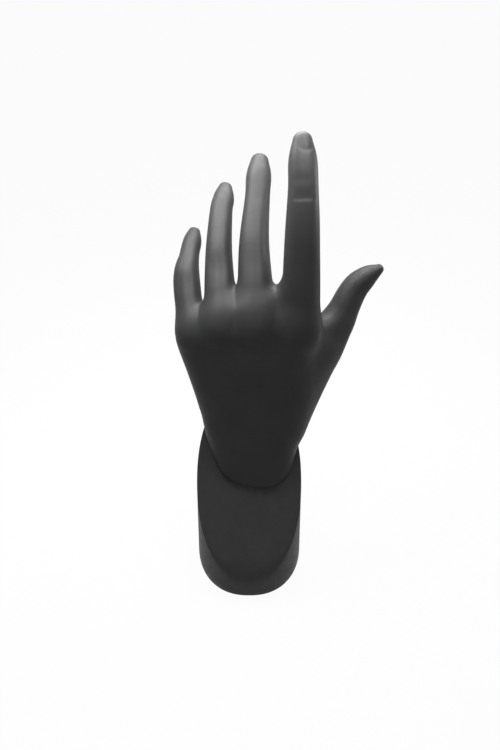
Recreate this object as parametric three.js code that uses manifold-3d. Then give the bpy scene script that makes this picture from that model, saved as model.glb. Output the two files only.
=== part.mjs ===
// A display hand that turns on the sloping face of an oval stand.
// Millimetres and degrees, +Z up. The origin is the middle of the felt's underside, the back of the hand
// faces -Y, and +X is the thumb's side.
import * as THREE from 'three';
import { mergeVertices } from 'three/addons/utils/BufferGeometryUtils.js';
import Module from 'manifold-3d';

// Stand: an oval column, open underneath, with walls that lean in and a sloping top face. Its plan is half
// an ellipse at the back and a fuller half oval at the front.
const STAND_WIDTH = 60;
const STAND_DEPTH = 80.8;
const FRONT_FULLNESS = 2.3;
const STAND_DRAFT = 0.95;
const STAND_WALL = 4;
const FACE_HEIGHT = 57.7;
const FACE_SLOPE = 45;
const FACE_WALL = 6;

// Underside: felt, bottom plate, the posts that it is screwed to and the ballast that stands on it
const FELT_THICKNESS = 1.2;
const FELT_INSET = 2;
const BOTTOM_PLATE_THICKNESS = 3;
const BOTTOM_PLATE_CLEARANCE = 0.3;
const POST_RADIUS = 4;
const POST_HEIGHT = 14;
const POST_ANGLE = 55;
const POST_SINK = 1.5;
const BALLAST_CLEARANCE = 3;
const BALLAST_SCREW_INSET = 8.5;

// Countersunk screws, all of one kind
const SCREW_RADIUS = 1.75;
const SCREW_HEAD_RADIUS = 3.4;
const SCREW_HEAD_HEIGHT = 1.8;
const SCREW_LENGTH = 9;
const SCREW_CLEARANCE = 0.15;

// Turning joint: where the bolt crosses the face, and what is threaded on it
const SEAT_OFFSET = 2.45;
const SEAT_UP_FACE = 18.5;
const SEAT_CLEARANCE = 0.3;
const WRIST_GAP = 1;
const WRIST_PLATE_RADIUS = 15;
const WRIST_PLATE_THICKNESS = 3;
const WRIST_SCREW_PITCH = 10;
const WRIST_SCREW_COUNT = 3;
const FRICTION_WASHER_RADIUS = 14;
const FRICTION_WASHER_THICKNESS = 1.2;
const BOLT_RADIUS = 3;
const BOLT_HEAD_FLATS = 10;
const BOLT_HEAD_HEIGHT = 4;
const BOLT_TAIL = 1.5;
const BUSH_WALL = 1.5;
const BUSH_FLANGE_RADIUS = 7.5;
const BUSH_FLANGE_THICKNESS = 1.5;
const THRUST_WASHER_RADIUS = 8;
const THRUST_WASHER_THICKNESS = 1.6;
const SPRING_WASHER_RADIUS = 7;
const SPRING_WASHER_RISE = 0.8;
const SPRING_WASHER_THICKNESS = 0.9;
const NUT_HEIGHT = 6;
const STOP_PIN_RADIUS = 2;
const STOP_PIN_SET = 8;
const STOP_PIN_PITCH = 18.5;
const STOP_TURN = 90;
const STOP_GROOVE_DEPTH = 3.5;
const STOP_GROOVE_CLEARANCE = 0.5;

// Hand: in its own frame X runs to the thumb, Y to the palm and Z from the wrist to the fingertips.
// Bends turn a bone to the palm, splays turn it to the thumb, both measured from the hand's own Z axis.
const HAND_LEAN = 12;
const PALM = {
  joints: [[0, -0.8, -45], [0, -0.8, -10], [-0.6, -0.4, 12], [-1.6, -0.6, 40], [-2.4, -0.4, 66]],
  halfWidth: [23.2, 23.6, 27, 30.8, 34],
  halfThickness: [15.6, 15.6, 15, 13, 10.6],
  squareness: [2.7, 2.7, 2.6, 2.4, 2.4],
  roll: -5,
};
const FINGER_ROOT = 0.6;
const FINGER_SQUARENESS = [2, 2.1, 2.5, 2.5, 2.5];
const FINGERS = {
  index: {
    knuckle: [23.7, -1.9, 72], splay: [0.5, 0, -1.8], bend: [3, 8, 14], length: [44.2, 23.8, 21],
    radius: [7.4, 10.2, 8.8, 7.5, 6.2], roll: 0,
  },
  middle: {
    knuckle: [1.4, -2.9, 74.1], splay: [-2.1, 4.6, 4.2], bend: [32, 38, 42], length: [37.6, 28.1, 19.7],
    radius: [7.2, 9.8, 7.7, 6.6, 5.6], roll: -24,
  },
  ring: {
    knuckle: [-16.8, -1.4, 71.8], splay: [-3.2, 2.4, 10.9], bend: [37, 43, 48], length: [34.9, 25.9, 15],
    radius: [6.6, 8.8, 6.9, 6.1, 4.9], roll: -26,
  },
  little: {
    knuckle: [-31.9, 1.4, 66.1], splay: [-9.8, 5.2, 12.6], bend: [40, 48, 54], length: [27.5, 15.4, 14.8],
    radius: [5, 6.9, 6.7, 5.3, 4.4], roll: -28,
  },
};
const WEB_SINK = 2;
const WEBS = [
  { between: ['index', 'middle'], along: [0.3, 0.26], radius: 5.8 },
  { between: ['middle', 'ring'], along: [0.26, 0.3], radius: 5.4 },
  { between: ['ring', 'little'], along: [0.14, 0.32], radius: 5 },
];
const THUMB = {
  joints: [[16.5, -1, 14], [38.8, 14, 48], [52.3, 21, 78], [59.6, 21.4, 88.4], [66, 19.8, 93.6]],
  radius: [8.6, 8.8, 7.4, 6, 3.2], roll: 30, squareness: 2.5,
};
const THUMB_WEB = { joints: [[27, 6, 62.4], [46, 18, 65.5]], radius: [7, 5.4] };
const THUMB_MOUND = { joints: [[13, 4, 33], [36, 13, 50]], radius: [9, 8] };
const LITTLE_MOUND = { joints: [[-18, 3, 27], [-29, 4, 50]], radius: [10, 8] };
const FINGER_PADS = { joints: [[24, 3, 62], [-28, 6, 56]], radius: [8, 7] };
const KNUCKLE_ROW = {
  joints: [[22, -0.5, 74], [1, -1, 76], [-17, 0.5, 73], [-29, 4, 67]], radius: [8.2, 8.6, 8, 5.6],
};

// Widths over which the hand's forms melt together. The fingers melt into each other at their roots only:
// that width falls away about a line across the hand, which is higher on the thumb's side.
const PALM_MELT = 6;
const MOUND_MELT = 7;
const THUMB_MELT = 12;
const FINGER_MELT = 7;
const ROOT_MELT = 8;
const ROOT_LINE = 76;
const ROOT_LINE_TILT = 0.24;
const ROOT_FADE = 12;
const ROOT_LEAST = 0.05;

// Fineness of the facets
const CELL = new THREE.Vector3(2, 4.2, 4.8);
const DRAWING_PASSES = 2;
const EVENING_PASSES = 3;
const LIMB_STEPS = 4;
const ROUND_SIDES = 20;
const OVAL_SIDES = 56;

const radians = THREE.MathUtils.degToRad;
const slopeRise = Math.tan(radians(FACE_SLOPE));
const wasm = await Module();
wasm.setup();

// Shapes become closed solids: shared corners merged, faces without area dropped, every face turned outwards
function closedMesh(geometry) {
  const bare = geometry.clone();
  bare.deleteAttribute('normal');
  bare.deleteAttribute('uv');
  const merged = mergeVertices(bare);
  const position = merged.attributes.position;
  const corner = [0, 1, 2].map(() => new THREE.Vector3());
  const faces = [];
  let volume = 0;
  for (let i = 0; i < merged.index.count; i += 3) {
    const face = [0, 1, 2].map((k) => merged.index.getX(i + k));
    if (face[0] === face[1] || face[1] === face[2] || face[2] === face[0]) continue;
    face.forEach((vertex, k) => corner[k].fromBufferAttribute(position, vertex));
    volume += corner[0].dot(corner[1].clone().cross(corner[2]));
    faces.push(face);
  }
  const outward = volume < 0 ? faces.map((face) => face.reverse()) : faces;
  return { vertProperties: Float32Array.from(position.array), triVerts: Uint32Array.from(outward.flat()) };
}

function solid(geometry) {
  return new wasm.Manifold(new wasm.Mesh({ numProp: 3, ...closedMesh(geometry) }));
}

function surface(body) {
  const { vertProperties, triVerts } = body.getMesh();
  const geometry = new THREE.BufferGeometry();
  geometry.setAttribute('position', new THREE.BufferAttribute(vertProperties, 3));
  geometry.setIndex(new THREE.BufferAttribute(triVerts, 1));
  geometry.computeVertexNormals();
  return geometry;
}

function finish(color, roughness, metalness) {
  return new THREE.MeshStandardMaterial({ color, roughness, metalness });
}

function addPiece(parent, name, body, material) {
  const mesh = new THREE.Mesh(surface(body), material);
  mesh.name = name;
  parent.add(mesh);
}

// A turned piece about Z from [radius, height] points
function turned(profile) {
  const points = profile.map(([radius, height]) => new THREE.Vector2(radius, height));
  return new THREE.LatheGeometry(points, ROUND_SIDES).rotateX(Math.PI / 2);
}

function washer(outer, inner, low, high) {
  return turned([[inner, low], [outer, low], [outer, high], [inner, high], [inner, low]]);
}

function rod(radius, low, high) {
  return turned([[0, low], [radius, low], [radius, high], [0, high]]);
}

function hexagon(acrossFlats, low, high) {
  const corner = acrossFlats / 2 / Math.cos(Math.PI / 6);
  return new THREE.CylinderGeometry(corner, corner, high - low, 6)
    .rotateX(Math.PI / 2)
    .translate(0, 0, (low + high) / 2);
}

// A point of the stand's plan, and an upright plate of that plan
function ovalPoint(halfWidth, halfDepth, angle) {
  const [x, y] = [Math.cos(angle), Math.sin(angle)];
  const power = y < 0 ? 2 / FRONT_FULLNESS : 1;
  const bulge = (share) => Math.sign(share) * Math.abs(share) ** power;
  return new THREE.Vector2(halfWidth * bulge(x), halfDepth * bulge(y));
}

function ovalPlate(halfWidth, halfDepth, low, high) {
  const angles = Array.from({ length: OVAL_SIDES }, (_, i) => (i * 2 * Math.PI) / OVAL_SIDES);
  const outline = new THREE.Shape(angles.map((angle) => ovalPoint(halfWidth, halfDepth, angle)));
  const options = { depth: high - low, bevelEnabled: false };
  return new THREE.ExtrudeGeometry(outline, options).translate(0, 0, low);
}

// A countersunk screw pointing up from its flat head, and the hole for it, which is wider by the clearance
function screw(spare = 0) {
  const tip = SCREW_LENGTH + spare;
  return turned([
    [0, -spare], [SCREW_HEAD_RADIUS + spare, -spare], [SCREW_RADIUS + spare, SCREW_HEAD_HEIGHT],
    [SCREW_RADIUS + spare, tip - SCREW_RADIUS], [0, tip],
  ]);
}

// The seat frame: its origin is where the bolt crosses the face, Z is the bolt's axis, Y runs up the face
const seat = new THREE.Group();
seat.rotation.x = radians(FACE_SLOPE);
seat.position.set(
  SEAT_OFFSET,
  SEAT_UP_FACE * Math.cos(radians(FACE_SLOPE)),
  FACE_HEIGHT + SEAT_UP_FACE * Math.sin(radians(FACE_SLOPE)),
);
seat.updateMatrix();

// Levels along the bolt, counted from the face
const frictionTop = SEAT_CLEARANCE + FRICTION_WASHER_THICKNESS;
const plateBottom = frictionTop + SEAT_CLEARANCE;
const plateTop = plateBottom + WRIST_PLATE_THICKNESS;
const headBottom = plateTop + SEAT_CLEARANCE;
const headTop = headBottom + BOLT_HEAD_HEIGHT;
const thrustTop = -FACE_WALL - SEAT_CLEARANCE;
const thrustBottom = thrustTop - THRUST_WASHER_THICKNESS;
const springTop = thrustBottom - SEAT_CLEARANCE;
const springBottom = springTop - SPRING_WASHER_RISE - SPRING_WASHER_THICKNESS;
const nutTop = springBottom - SEAT_CLEARANCE;
const nutBottom = nutTop - NUT_HEIGHT;
const boltBottom = nutBottom - BOLT_TAIL;
const boltHole = BOLT_RADIUS + SEAT_CLEARANCE;
const stopPinTop = WRIST_GAP + STOP_PIN_SET;
const stopPinBottom = STOP_GROOVE_CLEARANCE - STOP_GROOVE_DEPTH;
const wristScrews = Array.from({ length: WRIST_SCREW_COUNT }, (_, i) => {
  const angle = Math.PI / 2 + (i * 2 * Math.PI) / WRIST_SCREW_COUNT;
  return new THREE.Vector3(Math.cos(angle), Math.sin(angle), 0)
    .multiplyScalar(WRIST_SCREW_PITCH)
    .setZ(plateBottom);
});

const vector = (numbers) => new THREE.Vector3(...numbers);

// Two surfaces that melt together over a width
function melt(a, b, width) {
  const share = Math.max(width - Math.abs(a - b), 0) / width;
  return Math.min(a, b) - (share * share * width) / 4;
}

// The distance to a limb: a smooth curve through its joints, with a half width and a half thickness at each
// of them. Its section is an ellipse at squareness 2 and a rounded square above that, turned by roll.
function limb({ joints, radius, halfWidth = radius, halfThickness = radius, roll = 0, squareness = 2 }) {
  const smooth = (points) => new THREE.CatmullRomCurve3(points, false, 'catmullrom');
  const centreLine = smooth(joints.map((joint) => vector([...joint])));
  const section = smooth(joints.map((_, i) =>
    new THREE.Vector3(halfWidth[i], halfThickness[i], squareness[i] ?? squareness)));
  const steps = LIMB_STEPS * (joints.length - 1);
  const spans = Array.from({ length: steps }, (_, i) => {
    const start = centreLine.getPoint(i / steps);
    const along = centreLine.getPoint((i + 1) / steps).sub(start);
    const length = along.length();
    along.normalize();
    const side = new THREE.Vector3(0, 1, 0).cross(along).normalize().applyAxisAngle(along, radians(roll));
    const half = section.getPoint(i / steps);
    const change = section.getPoint((i + 1) / steps).sub(half);
    return { start, along, side, palm: along.clone().cross(side), length, half, change };
  });
  const from = new THREE.Vector3();
  return (point) => {
    let least = Infinity;
    for (const { start, along, side, palm, length, half, change } of spans) {
      from.subVectors(point, start);
      const reach = from.dot(along);
      const share = Math.min(Math.max(reach / length, 0), 1);
      const past = reach - share * length;
      const wide = half.x + change.x * share;
      const thick = half.y + change.y * share;
      const square = half.z + change.z * share;
      const u = Math.abs(from.dot(side)) / wide;
      const v = Math.abs(from.dot(palm)) / thick;
      const across = squareness === 2 ? Math.hypot(u, v) : (u ** square + v ** square) ** (1 / square);
      const girth = Math.min(wide, thick);
      least = Math.min(least, Math.hypot(across * girth, past) - girth);
    }
    return least;
  };
}

// A finger's joints, from the knuckle to the middle of the tip
function fingerJoints({ knuckle, splay, bend, length }) {
  const joints = [vector(knuckle)];
  length.forEach((bone, i) => {
    const across = radians(splay[i]);
    const down = radians(bend[i]);
    const along = new THREE.Vector3(
      Math.cos(down) * Math.sin(across), Math.sin(down), Math.cos(down) * Math.cos(across));
    joints.push(joints[i].clone().addScaledVector(along, bone));
  });
  return joints;
}

// The hand's skin as one field, below zero inside, and a box that holds it
function handForm() {
  const bones = Object.fromEntries(Object.entries(FINGERS).map(([name, f]) => [name, fingerJoints(f)]));
  const fingers = Object.entries(FINGERS).map(([name, { knuckle, radius, roll }]) => {
    const root = vector(knuckle).multiplyScalar(FINGER_ROOT);
    return limb({ joints: [root, ...bones[name]], radius, roll, squareness: FINGER_SQUARENESS });
  });
  const webs = WEBS.map(({ between, along, radius }) => limb({
    joints: between.map((name, i) =>
      bones[name][0].clone().lerp(bones[name][1], along[i]).add(new THREE.Vector3(0, WEB_SINK, 0))),
    radius: [radius, radius],
  }));
  const palm = limb(PALM);
  const mounds = [limb(LITTLE_MOUND), limb(FINGER_PADS), limb(KNUCKLE_ROW)];
  const thumb = limb(THUMB);
  const thumbFlesh = [limb(THUMB_WEB), limb(THUMB_MOUND)];
  const meltAll = (start, forms, point, width) =>
    forms.reduce((skin, form) => melt(skin, form(point), width), start);
  const field = (point) => {
    const thumbSkin = meltAll(thumb(point), thumbFlesh, point, MOUND_MELT);
    const palmSkin = meltAll(melt(palm(point), thumbSkin, THUMB_MELT), mounds, point, PALM_MELT);
    const aboveRoots = point.z - ROOT_LINE_TILT * point.x - ROOT_LINE;
    const rootShare = THREE.MathUtils.clamp(0.5 - aboveRoots / ROOT_FADE, ROOT_LEAST, 1);
    const fingerSkin = meltAll(fingers[0](point), fingers.slice(1), point, ROOT_MELT * rootShare);
    return meltAll(melt(palmSkin, fingerSkin, FINGER_MELT), webs, point, PALM_MELT);
  };
  const joints = [...Object.values(bones).flat(), ...THUMB.joints.map(vector), ...PALM.joints.map(vector)];
  const box = new THREE.Box3().setFromPoints(joints).expandByScalar(Math.max(...PALM.halfWidth));
  return { field, box };
}

// A cell is tangled when two separate surfaces cross it: its corners inside, or those outside, don't hang
// together along its edges, or one of its sides has two inside corners at opposite ends of a diagonal
function isTangled(mask) {
  const inside = (corner) => (mask >> corner) & 1;
  const groups = [0, 1].map((kind) => {
    const left = new Set([...Array(8).keys()].filter((corner) => inside(corner) === kind));
    let count = 0;
    while (left.size > 0) {
      const queue = [left.values().next().value];
      left.delete(queue[0]);
      count += 1;
      while (queue.length > 0) {
        const corner = queue.pop();
        queue.push(...[1, 2, 4].map((bit) => corner ^ bit).filter((next) => left.delete(next)));
      }
    }
    return count;
  });
  const crossed = [[1, 2], [2, 4], [4, 1]].some(([p, q]) => [0, 7 - p - q].some((c) =>
    inside(c) === inside(c | p | q) && inside(c | p) === inside(c | q) && inside(c) !== inside(c | p)));
  return groups.some((count) => count > 1) || crossed;
}

// The field's zero surface as a closed mesh: one vertex in each cell that the surface crosses, one four-sided
// face round each cell edge that it crosses, and the vertices then evened out and drawn onto the surface.
// In a tangled cell the corner nearest to the surface changes sides. If all have, the whole cell is filled.
function skinMesh({ field, box }) {
  const size = box.getSize(new THREE.Vector3()).divide(CELL).ceil().addScalar(1);
  const stride = [1, size.x, size.x * size.y];
  const place = (i, j, k) => new THREE.Vector3(i, j, k).multiply(CELL).add(box.min);
  const values = new Float64Array(size.x * size.y * size.z);
  const eachNode = (visit, spare) => {
    for (let k = 0; k < size.z - spare; k += 1) {
      for (let j = 0; j < size.y - spare; j += 1) {
        for (let i = 0; i < size.x - spare; i += 1) visit(i, j, k, i + j * stride[1] + k * stride[2]);
      }
    }
  };
  eachNode((i, j, k, node) => {
    values[node] = field(place(i, j, k));
  }, 0);
  const offsets = [...Array(8).keys()].map((c) =>
    (c & 1) * stride[0] + ((c >> 1) & 1) * stride[1] + (c >> 2) * stride[2]);
  const maskOf = (node) => offsets.reduce((mask, offset, c) => mask | ((values[node + offset] < 0) << c), 0);

  const tangled = [...Array(256).keys()].map(isTangled);
  const changed = new Set();
  let found = true;
  while (found) {
    found = false;
    eachNode((i, j, k, node) => {
      if (!tangled[maskOf(node)]) return;
      found = true;
      const corners = offsets.map((offset) => node + offset);
      const depth = (corner) => Math.abs(values[corner]);
      const [nearest] = corners.filter((c) => !changed.has(c)).sort((a, b) => depth(a) - depth(b));
      if (nearest === undefined) {
        corners.forEach((corner) => {
          values[corner] = -depth(corner);
        });
      } else {
        values[nearest] *= -1;
        changed.add(nearest);
      }
    }, 1);
  }

  const vertices = [];
  const vertexOf = new Map();
  const neighbours = [];
  const slope = new THREE.Vector3();
  const probe = new THREE.Vector3();
  const axes = ['x', 'y', 'z'];
  const drawOnto = (vertex, span = CELL.x / 20) => {
    for (let pass = 0; pass < DRAWING_PASSES; pass += 1) {
      axes.forEach((axis) => {
        const ahead = field(probe.copy(vertex).setComponent(axes.indexOf(axis), vertex[axis] + span));
        const behind = field(probe.copy(vertex).setComponent(axes.indexOf(axis), vertex[axis] - span));
        slope[axis] = (ahead - behind) / (2 * span);
      });
      const off = field(vertex);
      probe.copy(vertex).addScaledVector(slope, -off / slope.lengthSq());
      if (probe.distanceTo(vertex) < CELL.x && Math.abs(field(probe)) < Math.abs(off)) vertex.copy(probe);
    }
  };
  eachNode((i, j, k, node) => {
    const mask = maskOf(node);
    if (mask === 0 || mask === 255) return;
    const middle = new THREE.Vector3();
    let crossings = 0;
    offsets.forEach((offset, corner) => [1, 2, 4].forEach((bit) => {
      const other = corner | bit;
      if (corner & bit || ((mask >> corner) & 1) === ((mask >> other) & 1)) return;
      const share = values[node + offset] / (values[node + offset] - values[node + offsets[other]]);
      const [from, to] = [corner, other].map((c) => place(i + (c & 1), j + ((c >> 1) & 1), k + (c >> 2)));
      middle.add(from.lerp(to, share));
      crossings += 1;
    }));
    vertexOf.set(node, vertices.length);
    vertices.push(middle.divideScalar(crossings));
    neighbours.push(new Set());
  }, 1);

  const rings = [];
  eachNode((i, j, k, node) => stride.forEach((step, axis) => {
    const inside = values[node] < 0;
    if (inside === values[node + step] < 0) return;
    const [p, q] = [stride[(axis + 1) % 3], stride[(axis + 2) % 3]];
    const ring = [node, node - p, node - p - q, node - q].map((cell) => vertexOf.get(cell));
    ring.forEach((vertex, n) => neighbours[vertex].add(ring[(n + 1) % 4]).add(ring[(n + 3) % 4]));
    rings.push(inside ? ring : ring.reverse());
  }), 1);
  for (let pass = 0; pass < EVENING_PASSES; pass += 1) {
    const middles = neighbours.map((around) => {
      const middle = new THREE.Vector3();
      around.forEach((vertex) => middle.add(vertices[vertex]));
      return middle.divideScalar(around.size);
    });
    vertices.forEach((vertex, n) => {
      vertex.lerp(middles[n], 0.5);
      drawOnto(vertex);
    });
  }
  const faces = rings.flatMap(([a, b, c, d]) => {
    const short = vertices[a].distanceTo(vertices[c]) < vertices[b].distanceTo(vertices[d]);
    return short ? [a, b, c, a, c, d] : [a, b, d, b, c, d];
  });
  const geometry = new THREE.BufferGeometry().setFromPoints(vertices);
  geometry.setIndex(faces);
  return geometry;
}

// Everything on one side of a level plane, as a block large enough for this object
function blockAbove(level) {
  const reach = 4 * (STAND_DEPTH + FACE_HEIGHT);
  return new THREE.BoxGeometry(reach, reach, reach).translate(0, 0, level + reach / 2);
}

// The hand: one casting, cut flat where it meets the stand, with pockets for the wrist plate, the bolt's
// head, the plate's screws and the stop pin
function makeHand() {
  const skin = skinMesh(handForm()).rotateX(-radians(FACE_SLOPE + HAND_LEAN));
  const pockets = [
    rod(WRIST_PLATE_RADIUS + SEAT_CLEARANCE, 0, headBottom),
    hexagon(BOLT_HEAD_FLATS + 2 * SEAT_CLEARANCE, plateTop, headTop + SEAT_CLEARANCE),
    rod(STOP_PIN_RADIUS + SEAT_CLEARANCE, 0, stopPinTop + SEAT_CLEARANCE).translate(0, STOP_PIN_PITCH, 0),
    ...wristScrews.map((at) => screw(SEAT_CLEARANCE).translate(at.x, at.y, at.z)),
  ];
  let body = solid(skin).intersect(solid(blockAbove(WRIST_GAP)));
  pockets.forEach((pocket) => {
    body = body.subtract(solid(pocket));
  });
  return body;
}

function makeWristPlate() {
  let body = solid(washer(WRIST_PLATE_RADIUS, boltHole, plateBottom, plateTop));
  wristScrews.forEach((at) => {
    body = body.subtract(solid(screw(SEAT_CLEARANCE).translate(at.x, at.y, at.z)));
  });
  return body;
}

function makeBolt() {
  return solid(hexagon(BOLT_HEAD_FLATS, headBottom, headTop))
    .add(solid(rod(BOLT_RADIUS, boltBottom, headBottom + BOLT_HEAD_HEIGHT / 2)));
}

function makeBush() {
  const tube = boltHole + BUSH_WALL;
  return solid(turned([
    [boltHole, -FACE_WALL], [tube, -FACE_WALL], [tube, -BUSH_FLANGE_THICKNESS],
    [BUSH_FLANGE_RADIUS, -BUSH_FLANGE_THICKNESS], [BUSH_FLANGE_RADIUS, 0],
    [boltHole, 0], [boltHole, -FACE_WALL],
  ]));
}

function makeSpringWasher() {
  return solid(turned([
    [boltHole, springBottom], [SPRING_WASHER_RADIUS, springTop - SPRING_WASHER_THICKNESS],
    [SPRING_WASHER_RADIUS, springTop], [boltHole, springBottom + SPRING_WASHER_THICKNESS],
    [boltHole, springBottom],
  ]));
}

function makeNut() {
  return solid(hexagon(BOLT_HEAD_FLATS, nutBottom, nutTop))
    .subtract(solid(rod(boltHole, nutBottom - BOLT_TAIL, nutTop + BOLT_TAIL)));
}

// The arc groove in which the stop pin runs, as wide as the pin and its clearance
function stopGroove() {
  const half = STOP_PIN_RADIUS + STOP_GROOVE_CLEARANCE;
  const [start, end] = [90 - STOP_TURN, 90 + STOP_TURN].map(radians);
  const pinAt = (angle) => [STOP_PIN_PITCH * Math.cos(angle), STOP_PIN_PITCH * Math.sin(angle)];
  const outline = new THREE.Shape();
  outline.absarc(0, 0, STOP_PIN_PITCH + half, start, end, false);
  outline.absarc(...pinAt(end), half, end, end + Math.PI, false);
  outline.absarc(0, 0, STOP_PIN_PITCH - half, end, start, true);
  outline.absarc(...pinAt(start), half, start + Math.PI, start + 2 * Math.PI, false);
  const options = { depth: 2 * STOP_GROOVE_DEPTH, bevelEnabled: false, curveSegments: ROUND_SIDES / 2 };
  return new THREE.ExtrudeGeometry(outline, options).translate(0, 0, -STOP_GROOVE_DEPTH);
}

// The stand's oval body or its cavity: a column whose walls lean in, from a level up past the face
const standTop = FACE_HEIGHT + (slopeRise * STAND_DEPTH) / 2;
function column(wall, low) {
  const geometry = ovalPlate(STAND_WIDTH / 2 - wall, STAND_DEPTH / 2 - wall, low, standTop);
  const position = geometry.attributes.position;
  for (let i = 0; i < position.count; i += 1) {
    const above = position.getZ(i) - FELT_THICKNESS;
    const share = 1 - (Math.tan(radians(STAND_DRAFT)) * above) / (STAND_WIDTH / 2);
    position.setXY(i, position.getX(i) * share, position.getY(i) * share);
  }
  return geometry;
}

const plateTopLevel = FELT_THICKNESS + BOTTOM_PLATE_THICKNESS;
const postReach = [STAND_WIDTH, STAND_DEPTH].map((size) => size / 2 - STAND_WALL - POST_RADIUS + POST_SINK);
const posts = [POST_ANGLE, 180 - POST_ANGLE, 180 + POST_ANGLE, -POST_ANGLE].map((angle) => {
  const { x, y } = ovalPoint(...postReach, radians(angle));
  return new THREE.Vector3(x, y, FELT_THICKNESS);
});
const ballastHalfWidth = STAND_WIDTH / 2 - STAND_WALL - BALLAST_CLEARANCE;
const ballastHalfDepth = Math.abs(posts[0].y) - POST_RADIUS - BALLAST_CLEARANCE;
const ballastScrews = [1, -1].map((side) =>
  new THREE.Vector3(0, side * (ballastHalfDepth - BALLAST_SCREW_INSET), FELT_THICKNESS));

// The stand: a moulded shell with a thick sloping wall for the bolt, and four posts for the bottom plate
function makeStand() {
  const onFace = (geometry) => solid(geometry.applyMatrix4(seat.matrix));
  const outside = solid(column(0, FELT_THICKNESS)).subtract(onFace(blockAbove(0)));
  const cavity = solid(column(STAND_WALL, 0)).subtract(onFace(blockAbove(-FACE_WALL)));
  let body = outside.subtract(cavity);
  posts.forEach((at) => {
    const post = solid(rod(POST_RADIUS, plateTopLevel, plateTopLevel + POST_HEIGHT).translate(at.x, at.y, 0));
    body = body.add(post.intersect(outside));
  });
  posts.forEach((at) => {
    body = body.subtract(solid(screw(SCREW_CLEARANCE).translate(at.x, at.y, at.z)));
  });
  const bushHole = boltHole + BUSH_WALL + SEAT_CLEARANCE;
  const flangeHole = BUSH_FLANGE_RADIUS + SEAT_CLEARANCE;
  return body
    .subtract(onFace(rod(bushHole, -2 * FACE_WALL, FACE_WALL)))
    .subtract(onFace(rod(flangeHole, -BUSH_FLANGE_THICKNESS - SEAT_CLEARANCE, FACE_WALL)))
    .subtract(onFace(stopGroove()));
}

function makeBottomPlate() {
  const inset = STAND_WALL + BOTTOM_PLATE_CLEARANCE + Math.tan(radians(STAND_DRAFT)) * BOTTOM_PLATE_THICKNESS;
  const [halfWidth, halfDepth] = [STAND_WIDTH, STAND_DEPTH].map((size) => size / 2 - inset);
  let body = solid(ovalPlate(halfWidth, halfDepth, FELT_THICKNESS, plateTopLevel));
  [...posts, ...ballastScrews].forEach((at) => {
    body = body.subtract(solid(screw(SCREW_CLEARANCE).translate(at.x, at.y, at.z)));
  });
  return body;
}

// The ballast fills the room between the posts, up to the sloping wall over its front edge
function makeBallast() {
  const ceiling = FACE_HEIGHT - FACE_WALL / Math.cos(radians(FACE_SLOPE)) - slopeRise * ballastHalfDepth;
  let body = solid(ovalPlate(ballastHalfWidth, ballastHalfDepth, plateTopLevel, ceiling - BALLAST_CLEARANCE));
  ballastScrews.forEach((at) => {
    body = body.subtract(solid(screw(SCREW_CLEARANCE).translate(at.x, at.y, at.z)));
  });
  return body;
}

const displayHand = new THREE.Group();
displayHand.add(seat);

const black = 0x1c1c1d;
const steel = 0xa9abad;
addPiece(seat, 'hand', makeHand(), finish(black, 0.55, 0));
addPiece(seat, 'wrist_plate', makeWristPlate(), finish(steel, 0.4, 1));
wristScrews.forEach((at, i) => {
  const body = solid(screw().translate(at.x, at.y, at.z));
  addPiece(seat, `wrist_plate_screw_${i + 1}`, body, finish(steel, 0.35, 1));
});
addPiece(seat, 'pivot_bolt', makeBolt(), finish(steel, 0.35, 1));
addPiece(
  seat,
  'stop_pin',
  solid(rod(STOP_PIN_RADIUS, stopPinBottom, stopPinTop).translate(0, STOP_PIN_PITCH, 0)),
  finish(steel, 0.3, 1),
);
addPiece(
  seat,
  'friction_washer',
  solid(washer(FRICTION_WASHER_RADIUS, boltHole, SEAT_CLEARANCE, frictionTop)),
  finish(0x2b2622, 0.9, 0),
);
addPiece(seat, 'pivot_bush', makeBush(), finish(0xb08d4a, 0.4, 1));
addPiece(
  seat,
  'thrust_washer',
  solid(washer(THRUST_WASHER_RADIUS, boltHole, thrustBottom, thrustTop)),
  finish(steel, 0.35, 1),
);
addPiece(seat, 'spring_washer', makeSpringWasher(), finish(0x6f7174, 0.4, 1));
addPiece(seat, 'lock_nut', makeNut(), finish(steel, 0.35, 1));

addPiece(displayHand, 'stand', makeStand(), finish(black, 0.55, 0));
addPiece(displayHand, 'ballast', makeBallast(), finish(0x4a4a4c, 0.75, 1));
addPiece(displayHand, 'bottom_plate', makeBottomPlate(), finish(0x202021, 0.6, 0));
ballastScrews.forEach((at, i) => {
  const body = solid(screw().translate(at.x, at.y, at.z));
  addPiece(displayHand, `ballast_screw_${i + 1}`, body, finish(steel, 0.35, 1));
});
posts.forEach((at, i) => {
  const body = solid(screw().translate(at.x, at.y, at.z));
  addPiece(displayHand, `bottom_plate_screw_${i + 1}`, body, finish(steel, 0.35, 1));
});
addPiece(
  displayHand,
  'felt_pad',
  solid(ovalPlate(STAND_WIDTH / 2 - FELT_INSET, STAND_DEPTH / 2 - FELT_INSET, 0, FELT_THICKNESS)),
  finish(0x161616, 0.95, 0),
);

export default displayHand;
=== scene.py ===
from math import cos, pi, radians, sin, tan

import bmesh
import bpy
import numpy as np
from mathutils import Matrix, Vector


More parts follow.
